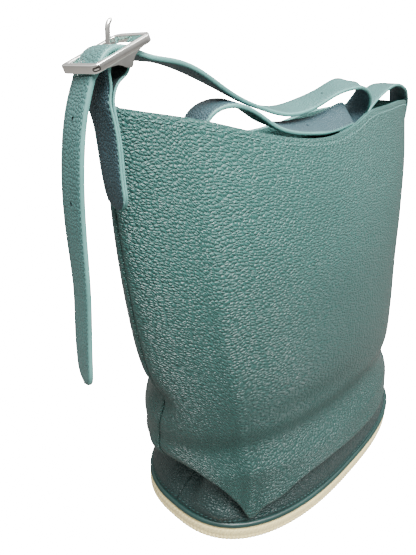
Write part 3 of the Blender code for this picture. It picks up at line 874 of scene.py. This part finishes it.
def base_ring(offset, height, count):
    """Points right round the base's outline, evenly spaced along it."""
    angles = np.linspace(0, math.tau, 1441)
    c = np.cos(angles)
    s = np.sin(angles)
    x = (BASE_LENGTH / 2 + offset) * np.sign(c) * np.abs(c) ** (2 / BASE_POWER)
    y = (BASE_DEPTH / 2 + offset) * np.sign(s) * np.abs(s) ** (2 / BASE_POWER)
    run = running(np.hypot(np.diff(x), np.diff(y)))
    at = np.linspace(0, run[-1], count + 1)
    ring = np.stack([np.interp(at, run, x), np.interp(at, run, y), np.full(count + 1, height)], -1)
    return ring, at


def ring_out(ring):
    """The level direction away from the bag at each point of a ring."""
    way = np.gradient(ring, axis=0)
    way[0] = way[-1] = ring[1] - ring[-2]
    way /= np.linalg.norm(way, axis=1)[:, None]
    return np.stack([way[:, 1], -way[:, 0], np.zeros(len(ring))], -1)


def sole_piece():
    """The braided sole: two courses of slanting strands round its side, closed below and on top."""
    ring, run = base_ring(SOLE_OVERHANG - 0.0008, 0.0, 1440)
    out = ring_out(ring)
    strands = round(run[-1] / ROPE_PITCH)
    phase = run / run[-1] * strands
    rows = []
    groove_shades = []
    for level in np.linspace(0, 1, 33):
        z = 0.0002 + level * (SOLE_HEIGHT - 0.0002)
        lower = level < ROPE_COURSE
        within = level / ROPE_COURSE if lower else (level - ROPE_COURSE) / (1 - ROPE_COURSE)
        slant = within - 0.5 if lower else 0.5 - within
        cell = np.abs(((phase + slant * 0.9) % 1.0) - 0.5) * 2
        strand = np.sqrt(np.maximum(0.0, 1 - cell**2 * 0.92))
        belly = math.sqrt(max(0.0, 1 - (2 * within - 1) ** 2 * 0.80))
        edge = min(level, 1 - level) * (SOLE_HEIGHT / 0.0020)
        corner = -0.0020 * (1 - math.sqrt(1 - (1 - min(edge, 1.0)) ** 2))
        rise = 0.0011 * (strand * belly - 0.55) + corner
        place = ring + out * rise[:, None]
        place[:, 2] = z
        rows.append(place)
        # painted shade: strongest where the strands dip, between them
        groove_shades.append(np.clip(1.25 - strand * belly * 1.35, 0, 1))
    centre = rows[0].mean(axis=0)
    wall = np.array(rows)
    # the underside and top close towards the middle
    under = [wall[0] + (centre - wall[0]) * k for k in (0.94, 0.6, 0.3, 0.1)]
    over = [wall[-1] + (centre * (1, 1, 0) + (0, 0, SOLE_HEIGHT) - wall[-1]) * k for k in (0.1, 0.5, 0.94)]
    for ring_in in under:
        ring_in[:, 2] = 0.0
    points = np.concatenate([np.array(under), wall, np.array(over)])
    rise = running(np.linalg.norm(np.diff(points, axis=0), axis=2).mean(axis=1))
    u, v = np.meshgrid(run, rise)
    made = grid_mesh("rope_braid", points, np.stack([u, v], -1), [sole_jute])
    shade = np.zeros(points.shape[:2])
    shade[len(under) : len(under) + len(rows)] = np.array(groove_shades)
    groove_shade = made.data.attributes.new("groove_shade", "FLOAT", "POINT")
    groove_shade.data.foreach_set("value", shade.ravel().astype(np.float32))
    clean(made.data, 1e-6)
    made.data.shade_smooth()
    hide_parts("rope_sole")
    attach(made, "bag")


def welt_piece():
    """Smooth leather folded over a cord, with the sewn flange that it stands on."""
    ring, run = base_ring(0.0, 0.0, 360)
    out = ring_out(ring)
    middle = SOLE_HEIGHT + 0.0003 + WELT_RADIUS
    profile = []
    for k in range(15):
        angle = math.radians(-95 + 230 * k / 14)
        profile.append((-0.0004 + WELT_RADIUS * math.cos(angle), middle + WELT_RADIUS * math.sin(angle)))
    profile += [(-0.0022, middle - 0.0002), (-0.0030, middle - 0.0016), (-0.0006, SOLE_HEIGHT + 0.0003)]
    profile.append(profile[0])
    rows = []
    for reach, z in profile:
        place = ring + out * reach
        place[:, 2] = z
        rows.append(place)
    u, v = np.meshgrid(run, np.linspace(0, 0.014, len(profile)))
    made = grid_mesh("welt_roll", np.array(rows), np.stack([u, v], -1), [welt_skin])
    clean(made.data, 1e-6)
    made.data.shade_smooth()
    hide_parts("welt")
    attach(made, "bag")


sole_piece()
welt_piece()


def welt_stitches():
    """The row of stitches along the band's foot, just above the welt."""
    for side in (-1, 1):
        row = BAND_FACES[side][3]
        out = outwards(row, side)
        places = along_line(row + out * 0.0002, out, WELT_PITCH, 0.0015)
        name = f"welt_stitches_{'front' if side < 0 else 'back'}"
        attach(stitches(name, places, band_thread, 0.0026, 0.00042, 0.22), "bag")


welt_stitches()


def rim_stitches(side):
    """A row of slanting stitches just under the mouth's edge."""
    face, _, _ = panel_face(side)
    row = at_height(face, face[-1, :, 2] - RIM_STITCH_DROP)
    out = outwards(row, side)
    places = along_line(row + out * 0.0001, out, RIM_PITCH, 0.010)
    name = f"rim_stitches_{'front' if side < 0 else 'back'}"
    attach(stitches(name, places[:-2], seam_thread, 0.0028, 0.00038, 0.30), "bag")


def facing_piece(name, side, node):
    """The strip of leather sewn inside the mouth."""
    face, _, _ = panel_face(side)
    face = face[:, 6:-6]
    rows = []
    for drop in (0.0280, 0.0210, 0.0140, 0.0070, 0.0003):
        row = at_height(face, face[-1, :, 2] - drop)
        rows.append(row - outwards(row, side) * (LEATHER + 0.0002))
    points = np.array(rows)
    looks = [inner_leather, inner_leather, edge_paint]
    made = sheet_piece(name, points, flat_map(points), side, looks, [node], FACING_LEATHER)


for side, label in ((-1, "front"), (1, "back")):
    rim_stitches(side)
    facing_piece(f"facing_{label}_sewn", side, f"facing_{label}")


# ---- straps ----
# middle lines as (x, y, z, bank): the strap from the buckle to its sewn end, its tail, and the tab
OVER_MOUTH = (
    (-0.1950, 0.0005, 0.3136, -0.10), (-0.1925, 0.0004, 0.3175, -0.08),
    (-0.1888, 0.0004, 0.3232, -0.04), (-0.1813, 0.0002, 0.3264, 0.00),
    (-0.1740, 0.0000, 0.3254, 0.00), (-0.1660, -0.0010, 0.3234, 0.00),
    (-0.1540, -0.0024, 0.3225, 0.03), (-0.1380, -0.0022, 0.3200, 0.05),
    (-0.1065, -0.0035, 0.3088, 0.25), (-0.0790, -0.0045, 0.3003, 0.20),
    (-0.0510, -0.0055, 0.2963, 0.20), (-0.0260, -0.0080, 0.3004, 0.20),
    (-0.0015, -0.0115, 0.3089, 0.10), (0.0170, -0.0135, 0.3136, 0.30),
    (0.0355, -0.0140, 0.3124, 0.30), (0.0530, -0.0115, 0.3047, 0.55),
    (0.0558, -0.0040, 0.2935, -0.30), (0.0405, -0.0065, 0.2885, -0.65),
    (0.0145, -0.0185, 0.2934, -0.90), (-0.0130, -0.0178, 0.2880, -0.60),
    (-0.0365, -0.0150, 0.2862, -0.40), (-0.0725, -0.0115, 0.2899, -0.20),
    (-0.1040, -0.0075, 0.3020, -0.15), (-0.1210, -0.0030, 0.2984, 0.00),
    (-0.1290, 0.0030, 0.2746, 0.00), (-0.1260, 0.0050, 0.2540, 0.00),
    (-0.1080, 0.0070, 0.2380, 0.00), (-0.0750, 0.0080, 0.2300, 0.00),
    (-0.0350, 0.0080, 0.2290, 0.00), (0.0050, 0.0070, 0.2340, 0.00),
    (0.0360, 0.0060, 0.2450, -0.10), (0.0600, 0.0050, 0.2620, -0.15),
    (0.0730, 0.0050, 0.2788, -0.15), (0.0870, 0.0050, 0.2945, -0.10),
    (0.1075, 0.0045, 0.3084, 0.14), (0.1325, 0.0042, 0.3138, 0.00),
    (0.1540, 0.0050, 0.3118, 0.20), (0.1690, 0.0085, 0.3075, 0.20),
    (0.1805, 0.0115, 0.2985, 0.00), (0.1848, 0.0130, 0.2860, 0.00),
    (0.1830, 0.0130, 0.2700, 0.00), (0.1805, 0.0130, 0.2570, 0.00),
)
TAIL = (
    (-0.1950, 0.0005, 0.3136, -0.13), (-0.1989, 0.0006, 0.3034, -0.11),
    (-0.2033, 0.0007, 0.2835, -0.09), (-0.2053, 0.0010, 0.2475, -0.09),
    (-0.2045, 0.0014, 0.2116, -0.18), (-0.2053, 0.0025, 0.1830, -0.19),
    (-0.2056, 0.0030, 0.1565, -0.25),
)

TAB = (
    (-0.1845, -0.0065, 0.2534, -0.16), (-0.1855, -0.0055, 0.2604, -0.13),
    (-0.1861, -0.0045, 0.2680, -0.11), (-0.1865, -0.0030, 0.2830, -0.06),
    (-0.1875, -0.0015, 0.2960, -0.05), (-0.1882, 0.0000, 0.3050, -0.02),
    (-0.1876, 0.0000, 0.3110, 0.00), (-0.1882, 0.0000, 0.3160, 0.00),
    (-0.1868, 0.0000, 0.3204, 0.00), (-0.1842, 0.0000, 0.3236, 0.00),
    (-0.1812, 0.0000, 0.3245, 0.00), (-0.1784, 0.0000, 0.3230, 0.00),
    (-0.1770, 0.0000, 0.3200, 0.00), (-0.1782, 0.0000, 0.3165, 0.00),
    (-0.1830, 0.0000, 0.3125, 0.00), (-0.1862, 0.0000, 0.3052, 0.02),
    (-0.1861, -0.0015, 0.2960, 0.05), (-0.1851, -0.0030, 0.2830, 0.06),
    (-0.1847, -0.0045, 0.2680, 0.11), (-0.1841, -0.0055, 0.2604, 0.13),
    (-0.1831, -0.0065, 0.2534, 0.16),
)
# runs along each line, in metres
HOLES_SHOULDER = (0.198, 0.373)
HOLES_TAIL = (0.018, 0.056)


def pierce(made, line, places):
    """Punches holes through a strap, their walls lined with raw edge."""
    run = run_of(line)
    _, up = strap_axes(line)
    shape = bmesh.new()
    for at in places:
        turn = Vector(at_run(at, run, up)).to_track_quat("Z", "Y").to_matrix().to_4x4()
        bmesh.ops.create_cone(
            shape,
            cap_ends=True,
            segments=20,
            radius1=HOLE_RADIUS,
            radius2=HOLE_RADIUS,
            depth=0.008,
            matrix=Matrix.Translation(at_run(at, run, line)) @ turn,
        )
    mesh = bpy.data.meshes.new("punch")
    shape.to_mesh(mesh)
    shape.free()
    mesh.materials.append(raw_edge)
    combine(made, new_object("punch", mesh), "DIFFERENCE", "TRANSFER")


def slot_for_prong(made, low, high):
    """Cuts the long slot that lets the prong and its collar through the leather."""
    points = [(x, y, z) for x in (low[0], high[0]) for y in (low[1], high[1]) for z in (low[2], high[2])]
    faces = [(0, 1, 3, 2), (4, 6, 7, 5), (0, 4, 5, 1), (2, 3, 7, 6), (0, 2, 6, 4), (1, 5, 7, 3)]
    mesh = bpy.data.meshes.new("slot")
    mesh.from_pydata(points, [], faces)
    mesh.materials.append(raw_edge)
    combine(made, new_object("slot", mesh), "DIFFERENCE", "TRANSFER")


def keep(made):
    """Applies a piece's modifiers to its mesh."""
    graph = bpy.context.evaluated_depsgraph_get()
    mesh = bpy.data.meshes.new_from_object(made.evaluated_get(graph))
    made.modifiers.clear()
    made.data = mesh


def combine(made, other, operation, material_mode="INDEX"):
    """Joins or cuts a piece with another one, which is then deleted."""
    step = made.modifiers.new(operation.lower(), "BOOLEAN")
    step.operation = operation
    step.object = other
    step.material_mode = material_mode
    keep(made)
    bpy.data.objects.remove(other)


def strap_thread(name, line, thickness, body, faces=(1, -1), start=0.002, stop=0.002):
    """The two sewn rows on a strap, on both of its faces."""
    places = strap_stitches(line, thickness, faces, start, stop)
    made = stitches(name, places, light_thread, 0.0018, 0.00022, 0.12)
    if body is not None:
        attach(made, body)
    return made


def shoulder_strap():
    """The strap, from the buckle over the mouth to its sewn end."""
    line = natural_spline(OVER_MOUTH, 0.0025)
    made = strap_piece("shoulder_strap_sewn", line, STRAP_LEATHER, round_end=True)
    pierce(made, line, HOLES_SHOULDER)
    slot_for_prong(made, (-0.1833, -0.0016, 0.3200), (-0.1730, 0.0016, 0.3350))
    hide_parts("shoulder_strap", "strap_turn")
    rows = strap_thread("shoulder_stitches", line, STRAP_LEATHER, None)
    for piece in (made, rows):
        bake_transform(piece)


def strap_tail():
    """The strap's free end. Its line runs down, so its bank and its two faces swap over."""
    line = natural_spline(TAIL, 0.0025)
    line[:, 3] *= -1
    # the strap's underside, here on the section's top, takes the darker copy: painted shade
    looks = [strap_under, edge_paint, strap_face]
    made = strap_piece("tail_sewn", line, STRAP_LEATHER, False, True, looks)
    pierce(made, line, HOLES_TAIL)
    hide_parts("strap_tail")
    rows = strap_thread("tail_stitches", line, STRAP_LEATHER, None, stop=0.006)
    for piece in (made, rows):
        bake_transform(piece)


def tab():
    """One strip folded round the bar, its two leaves sewn together and to the bag's end."""
    line = natural_spline(TAB, 0.0016)
    # both faces of the tab take the darker, bluish copy of the strap leather: painted shade
    looks = [strap_under, edge_paint, strap_under]
    made = strap_piece("buckle_tab_sewn", line, TAB_LEATHER, True, True, looks)
    slot_for_prong(made, (-0.1850, -0.0023, 0.3208), (-0.1760, 0.0023, 0.3300))
    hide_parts("buckle_tab")
    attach(made, "bag")
    run = run_of(line)
    outer = line[run < 0.056]
    strap_thread("tab_stitches", outer, TAB_LEATHER, "bag", (1,), 0.005, 0.0)


shoulder_strap()
strap_tail()
tab()

# ---- the buckle ----
FRAME_LENGTH = 0.0360
FRAME_DEPTH = 0.0272
FRAME_WIRE = 0.0030
FRAME_HEIGHT = 0.0036
FRAME_SHIFT = 0.0003
FRAME_RISE = 0.0024
BAR_RADIUS = 0.0014
TUBE_SIDES = 24
PILL_STEPS = 8
RECESS_TURN = math.radians(-38)
# outlines as (along, up) in millimetres from the bar
LUG = (
    (10.4, 0.6), (7.4, 0.2), (5.0, -0.6), (3.2, -1.9), (2.2, -3.4), (1.3, -4.3), (0.0, -4.2),
    (-2.2, -3.0), (-3.8, -1.6), (-5.6, -0.5), (-8.6, 0.2), (-10.6, 0.5), (-10.6, 1.4), (10.4, 1.4),
)
PRONG_PATH = (
    (0.0, 1.6), (0.0, 5.0), (0.0, 9.0), (0.0, 12.0), (0.25, 13.4), (0.9, 14.7), (1.8, 15.6), (2.6, 16.1),
)


def buckle_place():
    """From the frame's own axes to the bag's."""
    return Matrix.Translation(BAR_CENTRE) @ Matrix.Rotation(-FRAME_TILT, 4, "Y")


def frame_run():
    """The frame's middle line with its outward directions, corner by corner."""
    half_x = (FRAME_LENGTH - FRAME_WIRE) / 2
    half_y = (FRAME_DEPTH - FRAME_WIRE) / 2
    places = []
    outs = []
    for quarter, corner in enumerate((0.0034, 0.0018, 0.0018, 0.0034)):
        cx = (half_x - corner) * (1 if quarter in (0, 3) else -1)
        cy = (half_y - corner) * (1 if quarter in (0, 1) else -1)
        for k in range(9):
            angle = math.pi / 2 * (quarter + k / 8)
            out = np.array((math.cos(angle), math.sin(angle)))
            places.append(np.array((cx, cy)) + corner * out)
            outs.append(out)
    return places, outs


def arc(x, y, radius, first):
    """A quarter turn of four points, from an angle in degrees."""
    angles = [math.radians(first + 30 * k) for k in range(4)]
    return [(x + radius * math.cos(angle), y + radius * math.sin(angle)) for angle in angles]


def frame_section():
    """The rail's outline: (outwards, up), round-edged, with a fine line turned in its top."""
    w = FRAME_WIRE / 2
    h = FRAME_HEIGHT / 2
    r = 0.0006
    points = arc(w - r, -h + r, r, -90) + arc(w - r, h - r, r, 0)
    points += [(0.00075, h), (0.00058, h - 0.0005), (0.00038, h)]
    return points + arc(-w + r, h - r, r, 90) + arc(-w + r, -h + r, r, 180)


def solid(name, points, faces, look):
    """A closed piece of one material."""
    mesh = bpy.data.meshes.new(name)
    mesh.from_pydata([tuple(p) for p in points], [], faces)
    mesh.materials.append(look)
    clean(mesh)
    return new_object(name, mesh)


def prism(name, outline, low, high, look):
    """A flat outline of (x, z) points given depth along Y."""
    n = len(outline)
    points = [(x, y, z) for y in (low, high) for x, z in outline]
    faces = [tuple(range(n)), tuple(range(2 * n - 1, n - 1, -1))]
    faces += [(i, (i + 1) % n, n + (i + 1) % n, n + i) for i in range(n)]
    return solid(name, points, faces, look)


def tube(name, path, radii, look):
    """A round rod along points in the XZ or YZ plane, closed at both ends."""
    path = np.array(path)
    way = np.gradient(path, axis=0)
    way /= np.linalg.norm(way, axis=1)[:, None]
    points = []
    for place, along, radius in zip(path, way, radii):
        across = np.array((0.0, 1.0, 0.0)) if abs(along[1]) < 0.5 else np.array((1.0, 0.0, 0.0))
        up = np.cross(along, across)
        for k in range(TUBE_SIDES):
            angle = math.tau * k / TUBE_SIDES
            points.append(place + radius * (math.cos(angle) * across + math.sin(angle) * up))
    return solid(name, points, tube_faces(0, len(path), TUBE_SIDES), look)


def pill(length, width):
    """The outline of a flat shape with round ends, as (x, z) points."""
    points = []
    for end in (1, -1):
        for k in range(PILL_STEPS + 1):
            angle = -math.pi / 2 + math.pi * k / PILL_STEPS
            x = end * ((length - width) / 2 + width / 2 * math.cos(angle))
            points.append((x, end * width / 2 * math.sin(angle)))
    return points


def buckle_frame():
    """The cast frame with a lug under each rail, and a stud in a recess at one corner."""
    places, outs = frame_run()
    section = frame_section()
    n = len(section)
    points = []
    for place, out in zip(places, outs):
        tall = 1.0 + 0.10 * max(0.0, -out[0]) ** 2
        for reach, up in section:
            x, y = place + out * reach
            points.append((x + FRAME_SHIFT, y, FRAME_RISE + up * tall))
    count = len(places)
    faces = []
    for i in range(count):
        for k in range(n):
            a = i * n + k
            b = i * n + (k + 1) % n
            c = (i + 1) % count * n + (k + 1) % n
            d = (i + 1) % count * n + k
            faces.append((a, b, c, d))
    frame_piece = solid("frame_cast", points, faces, silver)
    for side in (-1, 1):
        middle = side * (FRAME_DEPTH - FRAME_WIRE) / 2
        outline = [(x / 1000, z / 1000) for x, z in LUG]
        lug = prism("lug", outline, middle - 0.0012, middle + 0.0012, silver)
        combine(frame_piece, lug, "UNION")
    corner = Vector((-(FRAME_LENGTH / 2 - 0.0012) + FRAME_SHIFT, -(FRAME_DEPTH / 2 - 0.0006), FRAME_RISE))
    turn = Matrix.Rotation(RECESS_TURN, 4, "Z")
    recess = prism("recess", pill(0.0038, 0.0019), -0.0010, 0.0010, dark_metal)
    recess.data.transform(Matrix.Translation(corner) @ turn)
    combine(frame_piece, recess, "DIFFERENCE", "TRANSFER")
    stud = prism("frame_stud", pill(0.0022, 0.0006), -0.0004, 0.0012, silver)
    stud.data.transform(Matrix.Translation(corner) @ turn)
    for piece in (frame_piece, stud):
        piece.data.transform(buckle_place())
        soften(piece, 35)
        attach(piece, "buckle")
    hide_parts("buckle_frame")


def buckle_bar():
    """The bar through both lugs, with its ends slightly domed."""
    half = FRAME_DEPTH / 2 - 0.0008
    ys = (-half, -half + 0.0002, -half + 0.0006, 0.0, half - 0.0006, half - 0.0002, half)
    shares = (0.55, 0.85, 1.0, 1.0, 1.0, 0.85, 0.55)
    bar = tube("bar_turned", [(0, y, 0) for y in ys], [BAR_RADIUS * k for k in shares], silver)
    bar.data.transform(buckle_place())
    soften(bar, 35)
    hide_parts("buckle_bar")
    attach(bar, "buckle")


def prong():
    """The pin on its collar. It stands up through the strap and its tip leans over."""
    path = [(x / 1000, 0.0, z / 1000) for x, z in PRONG_PATH]
    radii = [0.00135, 0.00130, 0.00126, 0.00122, 0.00120, 0.00112, 0.00095, 0.00050]
    pin = tube("prong_cast", path, radii, silver)
    across = [(0, y, 0) for y in (-0.0018, -0.0015, 0.0015, 0.0018)]
    collar = tube("collar", across, (0.0027, 0.0030, 0.0030, 0.0027), silver)
    combine(pin, collar, "UNION")
    bore = tube("bore", [(0, -0.01, 0), (0, 0.01, 0)], (BAR_RADIUS + 0.0003,) * 2, silver)
    combine(pin, bore, "DIFFERENCE")
    pin.data.transform(Matrix.Translation(BAR_CENTRE))
    soften(pin, 40)
    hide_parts("prong")
    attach(pin, "pin")


buckle_frame()
buckle_bar()
prong()


# ---- the hidden base ----
def dress(node, look):
    """Gives a CAD piece that stays its finished material."""
    node = bpy.data.objects[node]
    node.data.materials.clear()
    node.data.materials.append(look)


dress("base_board", brown_board)
dress("floor_lining", floor_leather)


# ---- stage ----
def make_stage():
    """A pale floor and a white studio, brighter above than around."""
    mesh = bpy.data.meshes.new("floor")
    size = 6.0
    corners = [(-size, -size, 0), (size, -size, 0), (size, size, 0), (-size, size, 0)]
    mesh.from_pydata(corners, [], [(0, 1, 2, 3)])
    n = Nodes("pale_floor")
    place = n.place()
    cloud = n.noise(place, 3.0, 2.0)
    seen = n.add("ShaderNodeLightPath").outputs["Is Camera Ray"]
    pale = n.mix(cloud, (0.88, 0.88, 0.87, 1), (0.92, 0.92, 0.91, 1))
    n.shade(Base_Color=n.mix(seen, FLOOR_BOUNCE, pale))
    n.shade(Roughness=0.8)
    n.shade(Emission_Color=(1.0, 1.0, 0.99, 1.0))
    n.shade(Emission_Strength=n.math("MULTIPLY", seen, FLOOR_GLOW))
    mesh.materials.append(n.owner)
    floor = new_object("floor", mesh)
    n = Nodes("studio", world=True)
    bpy.context.scene.world = n.owner
    n.shade(Color=(1.0, 1.0, 0.99, 1.0))
    parts = n.add("ShaderNodeSeparateXYZ")
    n.feed(parts.inputs[0], n.add("ShaderNodeTexCoord").outputs["Generated"])
    limits = {"From_Min": -0.1, "From_Max": 0.9, "To_Min": WALL_LIGHT, "To_Max": ROOF_LIGHT}
    rise = n.add("ShaderNodeMapRange", Value=parts.outputs["Z"], **limits)
    seen = n.add("ShaderNodeLightPath").outputs["Is Camera Ray"]
    pick = n.add("ShaderNodeMix", Factor=seen, A=rise.outputs["Result"], B=WHITE_WALL)
    n.shade(Strength=pick.outputs["Result"])
    for name, place, aim, size, power in (
        ("key", (-0.24, -0.34, 0.76), (0.0, 0.0, 0.30), 0.4, 15.0),
        ("fill", (0.40, -0.42, 0.90), (0.10, 0.0, 0.30), 0.6, 5.0),
    ):
        data = bpy.data.lights.new(name, "AREA")
        data.size = size
        data.energy = power
        lamp = bpy.data.objects.new(name, data)
        lamp.location = place
        lamp.rotation_euler = (Vector(aim) - Vector(place)).to_track_quat("-Z", "Y").to_euler()
        bpy.context.scene.collection.objects.link(lamp)


make_stage()
